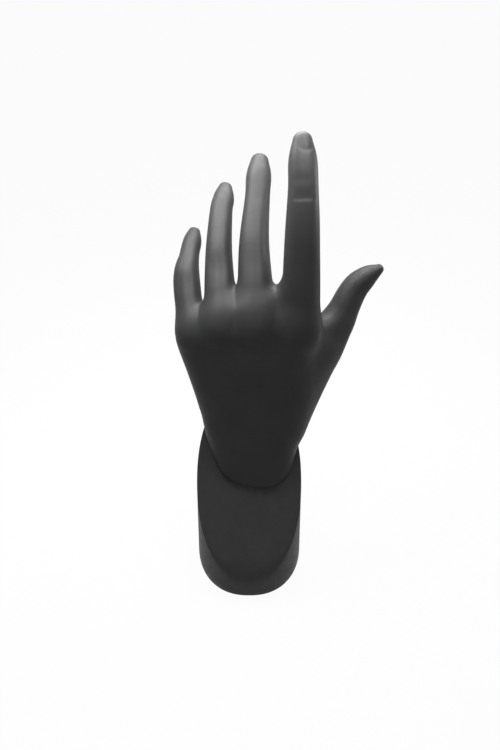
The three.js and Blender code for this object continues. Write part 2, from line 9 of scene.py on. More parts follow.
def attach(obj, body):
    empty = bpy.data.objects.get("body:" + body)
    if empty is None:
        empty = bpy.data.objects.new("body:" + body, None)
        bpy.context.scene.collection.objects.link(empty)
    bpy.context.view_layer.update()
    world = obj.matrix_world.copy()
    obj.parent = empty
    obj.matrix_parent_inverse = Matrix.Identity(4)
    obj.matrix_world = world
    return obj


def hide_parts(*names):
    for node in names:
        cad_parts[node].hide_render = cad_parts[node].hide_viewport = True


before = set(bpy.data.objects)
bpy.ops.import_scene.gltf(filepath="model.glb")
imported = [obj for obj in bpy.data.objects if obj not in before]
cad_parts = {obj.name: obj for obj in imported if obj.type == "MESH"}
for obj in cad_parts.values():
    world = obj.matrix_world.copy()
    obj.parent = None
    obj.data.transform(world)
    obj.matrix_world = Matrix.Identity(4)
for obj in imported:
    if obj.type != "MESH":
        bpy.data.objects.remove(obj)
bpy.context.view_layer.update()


# Stand: a moulded shell on an oval foot, with walls that lean in a little and a flat face cut across it at
# 45 degrees. The mould softens its edges, most of all at the front, and the shell is sprayed satin black.
MM = 0.001
FELT_THICKNESS = 1.2
STAND_HALF = np.array([30.0, 40.4])
STAND_WALL = 4.0
WALL_LEAN = tan(radians(0.95)) / STAND_HALF[0]
FACE_HEIGHT = 57.7
FACE_WALL = 6.0
FACE_SLOPE = radians(45)
SEAT = Matrix.Translation((2.45 * MM, 13.0815 * MM, 70.7815 * MM)) @ Matrix.Rotation(FACE_SLOPE, 4, "X")
OUTSIDE_SOFTNESS = dict(foot_softness=0.5, edge_softness=0.9)
INSIDE_SOFTNESS = dict(foot_softness=0.1, edge_softness=0.6)
FOOT_ROUNDING = 0.3
FRONT_SOFTNESS, FRONT_NARROWNESS = 9, 6
FRONT_FULLNESS = 2.3
STAND_SIDES = 192
STAND_CREASE = 32
# The posts and holes are turned from pairs of radius and height, and the groove is half a ring.
POSTS = [(13.48, 27.77), (-13.48, 27.77), (-14.49, -28.5), (14.49, -28.5)]
POST_PROFILE = [(4.0, 4.2), (4.0, 17.8), (3.6, 18.2)]
POST_HOLE = [(1.95, 3.0), (1.95, 10.5)]
BUSH_HOLE = [(5.1, -12), (5.1, -1.8), (7.8, -1.8), (7.8, 6)]
GROOVE_PITCH, GROOVE_HALF, GROOVE_DEPTH = 18.5, 2.5, 3.5
turn = np.linspace(0, 2 * pi, STAND_SIDES, endpoint=False)
bluntness = np.where(np.sin(turn) < 0, 2 / FRONT_FULLNESS, 1)
oval_x = np.sign(np.cos(turn)) * np.abs(np.cos(turn)) ** bluntness
oval_y = np.sign(np.sin(turn)) * np.abs(np.sin(turn)) ** bluntness


def turn_outward(mesh):
    shape = bmesh.new()
    shape.from_mesh(mesh)
    bmesh.ops.recalc_face_normals(shape, faces=shape.faces)
    shape.to_mesh(mesh)
    shape.free()


def shade_smooth(mesh, crease):
    mesh.polygons.foreach_set("use_smooth", [True] * len(mesh.polygons))
    mesh.set_sharp_from_angle(angle=radians(crease))


def make_piece(name, points, faces, place=Matrix.Identity(4), crease=35):
    mesh = bpy.data.meshes.new(name)
    mesh.from_pydata((np.asarray(points) * MM).tolist(), [], faces)
    turn_outward(mesh)
    mesh.transform(place)
    shade_smooth(mesh, crease)
    piece = bpy.data.objects.new(name, mesh)
    bpy.context.scene.collection.objects.link(piece)
    return piece


def stacked(rings, low_middle, high_middle):
    count, sides = len(rings), len(rings[0])
    points = np.concatenate([*rings, [low_middle, high_middle]])
    here = np.arange(sides)
    after = (here + 1) % sides
    top = (count - 1) * sides
    low_end, high_end = count * sides, count * sides + 1
    faces = [(low_end, b, a) for a, b in zip(here, after)]
    for low in range(0, top, sides):
        faces += [(low + a, low + b, low + sides + b, low + sides + a) for a, b in zip(here, after)]
    faces += [(top + a, top + b, high_end) for a, b in zip(here, after)]
    return points, [tuple(int(corner) for corner in face) for face in faces]


def oval_ring(half, height):
    share = 1 - WALL_LEAN * (height - FELT_THICKNESS)
    return np.stack([half[0] * share * oval_x, half[1] * share * oval_y, height + 0 * turn], 1)


def sloping_column(half, low, level, foot_softness, edge_softness):
    lift = half[1] * oval_y
    edge = oval_ring(half, (level + lift * (1 + WALL_LEAN * FELT_THICKNESS)) / (1 + WALL_LEAN * lift))
    middle = np.array([0, 0, level])
    at_front = np.clip(-np.sin(turn), 0, 1) ** FRONT_NARROWNESS
    soft = (edge_softness + FRONT_SOFTNESS * edge_softness * at_front)[:, None]
    foot = oval_ring(half, low + foot_softness)
    upward = (edge - foot) / np.linalg.norm(edge - foot, axis=1)[:, None]
    inward = (middle - edge) / np.linalg.norm(middle - edge, axis=1)[:, None]
    wall_end, face_start = edge - soft * upward, edge + soft * inward
    rounding = FOOT_ROUNDING * foot_softness
    rings = [oval_ring(half - foot_softness, low), oval_ring(half - rounding, low + rounding)]
    rings += [foot + (wall_end - foot) * share for share in (0, 0.25, 0.5, 0.75)]
    for share in np.linspace(0, 1, 7):
        rings.append((1 - share) ** 2 * wall_end + 2 * share * (1 - share) * edge + share ** 2 * face_start)
    rings += [face_start + (middle - face_start) * share for share in (0.04, 0.4)]
    return stacked(rings, [0, 0, low], middle)


def settle(piece, step):
    rough = piece.data
    piece.data = bpy.data.meshes.new_from_object(piece.evaluated_get(bpy.context.evaluated_depsgraph_get()))
    piece.modifiers.remove(step)
    bpy.data.meshes.remove(rough)
    piece.data.name = piece.name


def cut_piece(piece, tool, how="DIFFERENCE"):
    step = piece.modifiers.new("cut", "BOOLEAN")
    step.operation, step.object, step.solver = how, tool, "MANIFOLD"
    settle(piece, step)
    bpy.data.meshes.remove(tool.data)


def turned_tool(profile, place, sides=48):
    around = np.linspace(0, 2 * pi, sides, endpoint=False)
    rings = [
        np.stack([radius * np.cos(around), radius * np.sin(around), height + 0 * around], 1)
        for radius, height in profile
    ]
    return make_piece("tool", *stacked(rings, [0, 0, profile[0][1]], [0, 0, profile[-1][1]]), place)


def groove_tool(pitch, half, depth, steps=48, end_steps=13):
    sweep = np.linspace(0, pi, steps)
    round_end = np.linspace(pi, 2 * pi, end_steps)[1:-1]
    outer = [((pitch + half) * cos(a), (pitch + half) * sin(a)) for a in sweep]
    far_end = [(-pitch + half * cos(a), half * sin(a)) for a in round_end]
    inner = [((pitch - half) * cos(a), (pitch - half) * sin(a)) for a in sweep[::-1]]
    near_end = [(pitch + half * cos(a), half * sin(a)) for a in round_end]
    outline = [*outer, *far_end, *inner, *near_end]
    count = len(outline)
    points = [(x, y, z) for z in (-depth, depth) for x, y in outline]
    walls = [(i, (i + 1) % count, count + (i + 1) % count, count + i) for i in range(count)]
    ends = [tuple(range(count))[::-1], tuple(range(count, 2 * count))]
    return make_piece("tool", points, walls + ends, SEAT)


outside_form = sloping_column(STAND_HALF, FELT_THICKNESS, FACE_HEIGHT, **OUTSIDE_SOFTNESS)
stand = make_piece("stand_shell", *outside_form)
inside_level = FACE_HEIGHT - FACE_WALL / cos(FACE_SLOPE)
inside_form = sloping_column(STAND_HALF - STAND_WALL, 0.0, inside_level, **INSIDE_SOFTNESS)
cut_piece(stand, make_piece("tool", *inside_form))
for x, y in POSTS:
    post = Matrix.Translation((x * MM, y * MM, 0))
    cut_piece(stand, turned_tool(POST_PROFILE, post), "UNION")
    cut_piece(stand, turned_tool(POST_HOLE, post, sides=24))
cut_piece(stand, turned_tool(BUSH_HOLE, SEAT))
cut_piece(stand, groove_tool(GROOVE_PITCH, GROOVE_HALF, GROOVE_DEPTH))
stand.data.set_sharp_from_angle(angle=radians(STAND_CREASE))


def new_finish(name, roughness, metallic=0.0, specular=0.5):
    finish = bpy.data.materials.new(name)
    finish.use_nodes = True
    shader = finish.node_tree.nodes["Principled BSDF"]
    shader.inputs["Roughness"].default_value = roughness
    shader.inputs["Metallic"].default_value = metallic
    shader.inputs["Specular IOR Level"].default_value = specular
    return finish


def add_node(finish, kind, links=(), **values):
    node = finish.node_tree.nodes.new(kind)
    for socket, value in values.items():
        node.inputs[socket.replace("_", " ")].default_value = value
    for socket, source in links:
        finish.node_tree.links.new(source, node.inputs[socket])
    return node


def grain(finish, scale, detail=3.0, roughness=0.55, stretch=(1, 1, 1)):
    place = add_node(finish, "ShaderNodeTexCoord").outputs["Object"]
    stretched = add_node(finish, "ShaderNodeMapping", [("Vector", place)], Scale=stretch).outputs["Vector"]
    return add_node(
        finish, "ShaderNodeTexNoise", [("Vector", stretched)],
        Scale=scale, Detail=detail, Roughness=roughness,
    ).outputs["Fac"]


def spread(finish, factor, low, high, start=0.3, end=0.7):
    return add_node(
        finish, "ShaderNodeMapRange", [("Value", factor)],
        From_Min=start, From_Max=end, To_Min=low, To_Max=high,
    ).outputs["Result"]


def tint(finish, factor, dark, light):
    mix = finish.node_tree.nodes.new("ShaderNodeMix")
    mix.data_type = "RGBA"
    first, second = [socket for socket in mix.inputs if socket.type == "RGBA"]
    first.default_value, second.default_value = (*dark, 1), (*light, 1)
    finish.node_tree.links.new(factor, mix.inputs["Factor"])
    return next(socket for socket in mix.outputs if socket.type == "RGBA")


def wire(finish, colour, roughness, height, strength, depth):
    shader = finish.node_tree.nodes["Principled BSDF"]
    bump = add_node(finish, "ShaderNodeBump", [("Height", height)], Strength=strength, Distance=depth)
    finish.node_tree.links.new(colour, shader.inputs["Base Color"])
    finish.node_tree.links.new(roughness, shader.inputs["Roughness"])
    finish.node_tree.links.new(bump.outputs["Normal"], shader.inputs["Normal"])


def satin_black(name, dark, light, roughness, spray_scale, specular):
    finish = new_finish(name, roughness, specular=specular)
    clouds = spread(finish, grain(finish, scale=45, detail=4), 0, 1)
    patches = grain(finish, scale=320, detail=3)
    wire(
        finish,
        colour=tint(finish, clouds, dark, light),
        roughness=spread(finish, patches, roughness - 0.05, roughness + 0.05),
        height=grain(finish, scale=spray_scale, detail=2),
        strength=0.12,
        depth=0.00006,
    )
    return finish


def dress(piece, finish, body, slot, *nodes):
    piece.data.materials.clear()
    piece.data.materials.append(finish)
    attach(piece, body)
    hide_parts(*nodes)


stand_black = satin_black(
    "stand_satin_black",
    dark=(0.016, 0.016, 0.0165),
    light=(0.021, 0.021, 0.0215),
    roughness=0.6,
    spray_scale=2600,
    specular=0.25,
)
dress(stand, stand_black, "stand", "stand_paint", "stand")


# Bush: a turned brass tube with a flange, pressed into the thick wall behind the stand's face, for the bolt
# to turn in. It keeps the fine marks of the lathe.
def metal(name, dark, light, roughness, mark_scale=900, stretch=(1, 1, 1), bump=0.15):
    finish = new_finish(name, roughness, metallic=1.0)
    marks = grain(finish, mark_scale, detail=4, stretch=stretch)
    clouds = spread(finish, grain(finish, scale=70, detail=3), 0, 1)
    wire(
        finish,
        colour=tint(finish, clouds, dark, light),
        roughness=spread(finish, marks, roughness - 0.08, roughness + 0.1),
        height=marks,
        strength=bump,
        depth=0.00004,
    )
    return finish


def paint_node(node, finish):
    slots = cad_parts[node].data.materials
    slots.clear()
    slots.append(finish)


turned_brass = metal(
    "turned_brass", (0.5, 0.34, 0.12), (0.66, 0.47, 0.19), roughness=0.34, mark_scale=700, stretch=(0.3, 2, 2)
)
paint_node("pivot_bush", turned_brass)


# Ballast: a block of cast iron between the posts, so that the hand's weight can't tip the stand over. Its
# skin is left as it came out of the sand.
cast_iron = metal(
    "cast_iron", (0.06, 0.06, 0.064), (0.11, 0.108, 0.105), roughness=0.72, mark_scale=480, bump=0.6
)
paint_node("ballast", cast_iron)


# Bottom plate: a flat oval of matte black plastic that closes the stand from below, with countersunk holes
# for four screws into the posts and two into the ballast.
def moulded_plastic(name, dark, light, roughness):
    finish = new_finish(name, roughness, specular=0.4)
    texture = grain(finish, scale=1500, detail=3)
    clouds = spread(finish, grain(finish, scale=90, detail=3), 0, 1)
    wire(
        finish,
        colour=tint(finish, clouds, dark, light),
        roughness=spread(finish, texture, roughness - 0.06, roughness + 0.08),
        height=texture,
        strength=0.3,
        depth=0.00006,
    )
    return finish


plate_black = moulded_plastic("plate_black", (0.022, 0.022, 0.022), (0.032, 0.032, 0.032), roughness=0.6)
paint_node("bottom_plate", plate_black)


# Screws: countersunk, with a cross recess and a rolled thread, in zinc plated steel. Six hold the bottom
# plate to the posts and to the ballast, and three hold the wrist plate in the hand.
SCREW_SIZES = {
    "Head Radius": 3.4, "Shank Radius": 1.75, "Head Height": 1.8, "Length": 9.0, "Thread Pitch": 1.1,
    "Thread Depth": 0.28, "Recess Width": 0.9, "Recess Length": 3.8, "Recess Depth": 1.5,
}
SCREW_RINGS, SCREW_SIDES = 161, 33
FACE_END, CONE_END, POINT_START = 0.12, 0.2, 0.93
THREAD_START, THREAD_FULL, THREAD_FADE = 0.22, 0.27, 0.86
SEAM = 1e-7
SCREW_CREASE = 30
BALLAST_SCREWS = [(0, 12.27), (0, -12.27)]
WRIST_SCREW_PITCH, WRIST_SCREW_LEVEL = 10.0, 1.8
WRIST_SCREW_ANGLES = (90, 210, 330)


def screw_tree():
    tree = bpy.data.node_groups.new("countersunk_screws", "GeometryNodeTree")
    tree.interface.new_socket("Places", in_out="INPUT", socket_type="NodeSocketGeometry")
    for name in SCREW_SIZES:
        tree.interface.new_socket(name, in_out="INPUT", socket_type="NodeSocketFloat")
    tree.interface.new_socket("Finish", in_out="INPUT", socket_type="NodeSocketMaterial")
    tree.interface.new_socket("Screws", in_out="OUTPUT", socket_type="NodeSocketGeometry")
    given, made = tree.nodes.new("NodeGroupInput"), tree.nodes.new("NodeGroupOutput")

    def put(kind, *sources, **settings):
        node = tree.nodes.new(kind)
        for setting, value in settings.items():
            setattr(node, setting, value)
        for socket, source in zip(node.inputs, sources):
            if isinstance(source, bpy.types.NodeSocket):
                tree.links.new(source, socket)
            elif source is not None:
                socket.default_value = source
        return node.outputs[0]

    def math(operation, *sources):
        return put("ShaderNodeMath", *sources, operation=operation)

    def between(value, start, end):
        node = tree.nodes.new("ShaderNodeMapRange")
        tree.links.new(value, node.inputs["Value"])
        node.inputs["From Min"].default_value, node.inputs["From Max"].default_value = start, end
        return node.outputs["Result"]

    # A flat sheet is rolled up: its length runs over the head's face, down the cone and along the shank.
    size = {name: math("MULTIPLY", given.outputs[name], MM) for name in SCREW_SIZES}
    sheet = put("GeometryNodeMeshGrid", 1.0, 1.0, SCREW_RINGS, SCREW_SIDES)
    across = tree.nodes.new("ShaderNodeSeparateXYZ")
    tree.links.new(put("GeometryNodeInputPosition"), across.inputs[0])
    along, around = math("ADD", across.outputs[0], 0.5), math("ADD", across.outputs[1], 0.5)
    rim = between(along, 0, FACE_END)
    cone = between(along, FACE_END, CONE_END)
    point = between(along, POINT_START, 1)
    low = math("MULTIPLY", size["Head Height"], cone)
    rest = math("SUBTRACT", size["Length"], size["Head Height"])
    height = math("ADD", low, math("MULTIPLY", rest, between(along, CONE_END, 1)))
    flare = math("SUBTRACT", size["Head Radius"], size["Shank Radius"])
    radius = math("SUBTRACT", math("MULTIPLY", size["Head Radius"], rim), math("MULTIPLY", flare, cone))
    radius = math("SUBTRACT", radius, math("MULTIPLY", size["Shank Radius"], point))
    phase = math("SUBTRACT", math("DIVIDE", height, size["Thread Pitch"]), around)
    wave = math("SUBTRACT", math("SINE", math("MULTIPLY", phase, 2 * pi)), 1.0)
    unfaded = math("SUBTRACT", 1.0, between(along, THREAD_FADE, POINT_START))
    threaded = math("MULTIPLY", between(along, THREAD_START, THREAD_FULL), unfaded)
    groove = math("MULTIPLY", math("MULTIPLY", wave, math("MULTIPLY", size["Thread Depth"], 0.5)), threaded)
    radius = math("ADD", radius, groove)
    angle = math("MULTIPLY", around, 2 * pi)
    x, y = math("MULTIPLY", radius, math("COSINE", angle)), math("MULTIPLY", radius, math("SINE", angle))
    rolled = put("GeometryNodeSetPosition", sheet, None, put("ShaderNodeCombineXYZ", x, y, height))
    screw = put("GeometryNodeFlipFaces", put("GeometryNodeMergeByDistance", rolled, None, None, SEAM))

    recessed = tree.nodes.new("GeometryNodeMeshBoolean")
    recessed.operation, recessed.solver = "DIFFERENCE", "EXACT"
    tree.links.new(screw, recessed.inputs["Mesh 1"])
    width, length = size["Recess Width"], size["Recess Length"]
    double_depth = math("MULTIPLY", size["Recess Depth"], 2.0)
    for arm_sides in ((width, length), (length, width)):
        arm = put("GeometryNodeMeshCube", put("ShaderNodeCombineXYZ", *arm_sides, double_depth))
        tree.links.new(arm, recessed.inputs["Mesh 2"])
    placed = put("GeometryNodeInstanceOnPoints", given.outputs["Places"], None, recessed.outputs["Mesh"])
    realized = put("GeometryNodeRealizeInstances", placed)
    plated = put("GeometryNodeSetMaterial", realized, None, given.outputs["Finish"])
    tree.links.new(plated, made.inputs[0])
    return tree


def make_screws(name, tree, places, finish, frame_place=Matrix.Identity(4)):
    piece = make_piece(name, places, [])
    step = piece.modifiers.new("screws", "NODES")
    step.node_group = tree
    sockets = {socket.name: socket.identifier for socket in tree.interface.items_tree}
    for size, value in SCREW_SIZES.items():
        step[sockets[size]] = value
    step[sockets["Finish"]] = finish
    settle(piece, step)
    piece.data.transform(frame_place)
    turn_outward(piece.data)
    shade_smooth(piece.data, SCREW_CREASE)
    return piece


zinc_plate = metal("zinc_plate", (0.5, 0.51, 0.53), (0.6, 0.6, 0.59), roughness=0.34)
screws = screw_tree()
base_places = [(x, y, FELT_THICKNESS) for x, y in POSTS + BALLAST_SCREWS]
base_screws = make_screws("base_screws", screws, base_places, zinc_plate)
dress(
    base_screws, zinc_plate, "stand", "steel",
    *[f"bottom_plate_screw_{n}" for n in (1, 2, 3, 4)], *[f"ballast_screw_{n}" for n in (1, 2)],
)
wrist_places = [
    (WRIST_SCREW_PITCH * cos(radians(angle)), WRIST_SCREW_PITCH * sin(radians(angle)), WRIST_SCREW_LEVEL)
    for angle in WRIST_SCREW_ANGLES
]
wrist_screws = make_screws("wrist_screws", screws, wrist_places, zinc_plate, SEAT)
dress(wrist_screws, zinc_plate, "hand", "steel", *[f"wrist_plate_screw_{n}" for n in (1, 2, 3)])


# Felt: a sole of pressed black wool, glued under the bottom plate a little way in from the stand's edge, so
# that it doesn't scratch a shelf. The cut edge is soft.
FELT_INSET = 2.0
FELT_EDGE = [(0.5, 0.0), (0.18, 0.12), (0.0, 0.42), (0.02, 0.72), (0.12, 1.02), (0.4, 1.18)]
FELT_CREASE = 70
felt_half = STAND_HALF - FELT_INSET
felt_top = FELT_EDGE[-1][1]
felt_rings = [
    np.stack([(felt_half[0] - inset) * oval_x, (felt_half[1] - inset) * oval_y, height + 0 * turn], 1)
    for inset, height in FELT_EDGE
]
felt = make_piece("felt_sole", *stacked(felt_rings, [0, 0, 0], [0, 0, felt_top]), crease=FELT_CREASE)


def pressed_felt(name, dark, light):
    finish = new_finish(name, roughness=0.95, specular=0.1)
    finish.node_tree.nodes["Principled BSDF"].inputs["Sheen Weight"].default_value = 0.25
    fibres = grain(finish, scale=1400, detail=6, roughness=0.7)
    tufts = grain(finish, scale=260, detail=4)
    wire(
        finish,
        colour=tint(finish, spread(finish, tufts, 0, 1), dark, light),
        roughness=spread(finish, fibres, 0.9, 1.0),
        height=fibres,
        strength=0.9,
        depth=0.0003,
    )
    return finish


black_felt = pressed_felt("black_felt", dark=(0.006, 0.006, 0.006), light=(0.018, 0.018, 0.018))
dress(felt, black_felt, "stand", "felt", "felt_pad")
oval_area = 0.5 * np.abs(np.sum(oval_x * np.roll(oval_y, -1) - oval_y * np.roll(oval_x, -1)))
felt_area = oval_area * felt_half.prod()


# Turning joint: a steel bolt holds the wrist plate down on the stand's face. A fibre washer between them
# gives the friction, a spring washer under the lock nut keeps it, and a pin in the wrist stops the turn at
# the groove's ends.
for node in ("pivot_bolt", "lock_nut", "thrust_washer"):
    paint_node(node, zinc_plate)
plate_steel = metal(
    "plate_steel", (0.46, 0.47, 0.49), (0.58, 0.58, 0.58), roughness=0.38, mark_scale=800, stretch=(1, 6, 6)
)
paint_node("wrist_plate", plate_steel)
ground_steel = metal(
    "ground_steel", (0.52, 0.53, 0.54), (0.62, 0.62, 0.62), roughness=0.24, mark_scale=1200, stretch=(6, 1, 1)
)
paint_node("stop_pin", ground_steel)
oiled_spring_steel = metal("oiled_spring_steel", (0.24, 0.25, 0.27), (0.34, 0.34, 0.35), roughness=0.36)
paint_node("spring_washer", oiled_spring_steel)


def pressed_fibre(name, dark, light):
    finish = new_finish(name, roughness=0.85, specular=0.25)
    strands = grain(finish, scale=700, detail=6, roughness=0.65, stretch=(1, 4, 4))
    wire(
        finish,
        colour=tint(finish, spread(finish, strands, 0, 1), dark, light),
        roughness=spread(finish, strands, 0.75, 0.95),
        height=strands,
        strength=0.4,
        depth=0.00008,
    )
    return finish


washer_fibre = pressed_fibre("washer_fibre", dark=(0.045, 0.033, 0.025), light=(0.08, 0.06, 0.045))
paint_node("friction_washer", washer_fibre)


# Hand: one resin casting in a satin black spray. A palm, a thumb and four fingers flow into one skin, with
# the index upright and the others bent back, and the wrist is cut flat to lie over the stand's sloping face.
# It is modelled upright, in millimetres from the middle of its seat, and then leant back.
HAND_LEAN = radians(12)
HAND_LOW, HAND_HIGH = np.array([-45.0, -22.0, -46.0]), np.array([75.0, 74.0, 172.0])
PALM = dict(
    joints=[(0, -0.8, -45), (0, -0.8, -10), (-0.6, -0.4, 12), (-1.6, -0.6, 40), (-2.4, -0.4, 66)],
    width=[23.2, 23.6, 27, 30.8, 34], thickness=[15.6, 15.6, 15, 13, 10.6],
    roll=-5, squareness=[2.7, 2.7, 2.6, 2.4, 2.4],
)
# Radius and roll run from a finger's root in the palm over its joints to the tip. Its nail says how strong
# the relief near the tip is, and its swell where the middle joint is thick, where it is hollow, and how much.
FINGERS = dict(
    index=dict(
        knuckle=(23.7, -1.9, 72), splay=(0.5, 0, -1.8), bend=(3, 8, 14), length=(44.2, 23.8, 21),
        radius=(7.4, 10.2, 8.8, 7.5, 6.2), roll=(0, 0, 0, 0, 0), nail=1, swell=(2, -12, 0.2),
    ),
    middle=dict(
        knuckle=(1.4, -2.9, 74.1), splay=(-2.1, 4.6, 4.2), bend=(32, 38, 42), length=(37.6, 28.1, 19.7),
        radius=(7.2, 9.8, 7.7, 6.6, 6.2), roll=(-24, -24, -20, -6, 0), nail=0.15, swell=(5, -9, 0.45),
    ),
    ring=dict(
        knuckle=(-16.8, -1.4, 71.8), splay=(-3.2, 2.4, 10.9), bend=(37, 43, 48), length=(34.9, 25.9, 15),
        radius=(6.6, 8.8, 6.9, 6.1, 4.9), roll=(-26, -26, -20, -6, 0), nail=0.15, swell=(4, -8, 0.9),
    ),
    little=dict(
        knuckle=(-32.2, 1.4, 66.1), splay=(-9.8, 5.2, 12.6), bend=(40, 48, 54), length=(27.5, 15.4, 14.8),
        radius=(5, 6.9, 6.8, 5.3, 4.4), roll=(-28, -28, -22, -10, 0), nail=0.15, swell=(7, -4, 0.8),
    ),
)
ROOT_START, ROOT_MIDDLE, ROOT_SWELL = 0.6, 0.88, 0.7
KNUCKLE_SHIFT = np.array([-1.8, 0, 0])
PAD_PLACE, PAD_TAPER, PAD_SWELL = 0.62, 0.6, 0.35
TIP_REACH, TIP_TAPER = 0.21, 0.79
FINGER_SQUARENESS = [2, 2.1, 2.1, 2.5, 2.5, 2.5, 2.4]
THUMB = dict(
    joints=[(16.5, -1, 14), (38.8, 14, 48), (52.3, 21, 78), (59.6, 21.4, 87.8), (66.6, 19.6, 93.6)],
    width=[8.6, 8.8, 7.2, 5.7, 2.5], roll=30, squareness=2.5,
)
THUMB_FLESH = [
    dict(joints=[(27, 8, 60), (46, 19.5, 65)], width=[6.4, 5.2]),
    dict(joints=[(13, 4, 33), (36, 13, 50)], width=[9, 8]),
]
MOUNDS = [
    dict(joints=[(-18, 3, 27), (-28.6, 4, 50), (-31.2, 2.5, 61)], width=[10, 8, 6.4]),
    dict(joints=[(24, 3, 62), (-28, 6, 56)], width=[8, 7]),
    dict(joints=[(22, -0.5, 74), (1, -1, 76), (-17, 0.5, 73), (-29, 4, 67)], width=[8.2, 8.6, 8, 5.6]),
]
WEBS = [
    dict(finger="index", share=0.42, next_finger="middle", next_share=0.1, radius=5.8),
    dict(finger="middle", share=0.4, next_finger="ring", next_share=0.12, radius=5.4),
    dict(finger="ring", share=0.16, next_finger="little", next_share=0.02, radius=5.2),
]
WEB_SINK, WEB_INSET = np.array([0, 2.0, 0]), 0.15
WEB_LINE, WEB_TILT = 75.5, 0.3
THUMB_FLESH_MELT, THUMB_MELT, MOUND_MELT, FINGER_MELT, WEB_MELT, WRIST_MELT = 7, 12, 6, 7, 6, 3.6
ROOT_MELT, ROOT_FADE, LEAST_ROOT_MELT = 8, 12, 0.05
WRIST_GAP = 0.45
FAR = 14.0
face_tilt = FACE_SLOPE + HAND_LEAN
face_out = np.array([0, -sin(face_tilt), cos(face_tilt)])
face_up = np.array([0, cos(face_tilt), sin(face_tilt)])


def bone_frame(start, end, roll):
    along = end - start
    length = np.linalg.norm(along)
    along /= length
    level = np.cross([0, 1, 0], along)
    level /= np.linalg.norm(level)
    side = level * cos(radians(roll)) + np.cross(along, level) * sin(radians(roll))
    return along, side, -np.cross(along, side), length


# A limb runs smoothly through its joints, with a width, a thickness, a squareness and a roll at each. It
# gives how far a point lies outside it, less than nothing inside, and FAR for a point well away from it.
def limb(joints, width, thickness=None, roll=0, squareness=2, steps=10):
    thickness = width if thickness is None else thickness
    even = np.zeros(len(width))
    stations = np.column_stack([np.array(joints, float), width, thickness, squareness + even, roll + even])
    ends = np.vstack([2 * stations[0] - stations[1], stations, 2 * stations[-1] - stations[-2]])
    line = []
    for before, start, end, after in zip(ends, ends[1:], ends[2:], ends[3:]):
        bow = 2 * before - 5 * start + 4 * end - after
        twist = 3 * start - before - 3 * end + after
        for share in np.arange(steps) / steps:
            line.append(0.5 * (2 * start + (end - before) * share + bow * share ** 2 + twist * share ** 3))
    line = np.array([*line, stations[-1]])
    girths = line[:, 3:5]
    margin = FAR * (girths.max(1) / girths.min(1)).max() + line[:, 3].max()
    box_low, box_high = line[:, :3].min(0) - margin, line[:, :3].max(0) + margin
    spans = []
    for start, end in zip(line, line[1:]):
        spans.append((start, end - start, *bone_frame(start[:3], end[:3], start[6])))

    def near_distance(points):
        least = np.full(len(points), np.inf)
        for start, change, along, side, back, length in spans:
            offset = points - start[:3]
            reach = offset @ along
            share = np.clip(reach / length, 0, 1)
            wide, thick, square = [start[n] + change[n] * share for n in (3, 4, 5)]
            sideways, through = np.abs(offset @ side) / wide, np.abs(offset @ back) / thick
            if np.all(square == 2):
                across = np.hypot(sideways, through)
            else:
                across = (sideways ** square + through ** square) ** (1 / square)
            girth = np.minimum(wide, thick)
            np.minimum(least, np.hypot(across * girth, reach - share * length) - girth, out=least)
        return least

    def distance(points):
        near = np.all((points > box_low) & (points < box_high), axis=1)
        least = np.full(len(points), FAR)
        least[near] = near_distance(points[near])
        return least

    return distance


def finger_joints(finger):
    joints = [np.array(finger["knuckle"], float)]
    for across, down, bone in zip(np.radians(finger["splay"]), np.radians(finger["bend"]), finger["length"]):
        along = np.array([cos(down) * sin(across), sin(down), cos(down) * cos(across)])
        joints.append(joints[-1] + along * bone)
    return joints


bones = {name: finger_joints(finger) for name, finger in FINGERS.items()}


def finger_form(name):
    joints, roll = bones[name], FINGERS[name]["roll"]
    root, grip, middle, end, point = FINGERS[name]["radius"]
    knuckle, last, tip = joints[0], joints[-2], joints[-1]
    root_middle = ROOT_MIDDLE * knuckle + KNUCKLE_SHIFT
    pad = last + (tip - last) * PAD_PLACE
    past_tip = last + (tip - last) * (1 + TIP_REACH * point / np.linalg.norm(tip - last))
    pad_radius = (1 - PAD_TAPER) * end + PAD_TAPER * point + PAD_SWELL
    return limb(
        [ROOT_START * knuckle, root_middle, *joints[:-1], pad, past_tip],
        [root, root + ROOT_SWELL * (grip - root), grip, middle, end, pad_radius, TIP_TAPER * point],
        roll=[roll[0], *roll[:-1], roll[-1], roll[-1]],
        squareness=FINGER_SQUARENESS,
    )


def on_first_bone(finger, share):
    knuckle, joint = bones[finger][:2]
    return knuckle + (joint - knuckle) * share + WEB_SINK


def web_form(finger, share, next_finger, next_share, radius):
    start, end = on_first_bone(finger, share), on_first_bone(next_finger, next_share)
    inset = WEB_INSET * (end - start)
    return limb([start + inset, end - inset], [radius, radius])


palm_form = limb(**PALM)
finger_forms = [finger_form(name) for name in FINGERS]
web_forms = [web_form(**web) for web in WEBS]
thumb_form = limb(**THUMB)
thumb_flesh_forms = [limb(**flesh) for flesh in THUMB_FLESH]
mound_forms = [limb(**mound) for mound in MOUNDS]


# On the backs of the fingers, the nail is sunk in, the last joint has a crease and a shallow fold beyond it,
# and the middle joint swells a little beyond a hollow.
NAIL_DEPTH, NAIL_RAMP, NAIL_BOW = 0.5, 1.8, 1.6
NAIL_START, NAIL_OFFSET, NAIL_HALF = 0.5, 0.28, 0.6
CREASE_DEPTH, CREASE_PLACE, CREASE_RAMP = 0.5, -4.7, 4.2
FOLD_DEPTH, FOLD_PLACE, FOLD_WIDTH = 0.22, 4.5, 2.4
SWELL_HEIGHT, SWELL_WIDTH, SWELL_ROLL = 0.35, 6, 0.4
HOLLOW_DEPTH, HOLLOW_WIDTH = 0.8, 8
RELIEF_EDGE, RELIEF_HALF = 0.8, 0.75
SIDE_REACH, BACK_REACH, BACK_START = 2, 2.5, 0.5


def hump(past, width):
    return np.exp(-(past / width) ** 2)


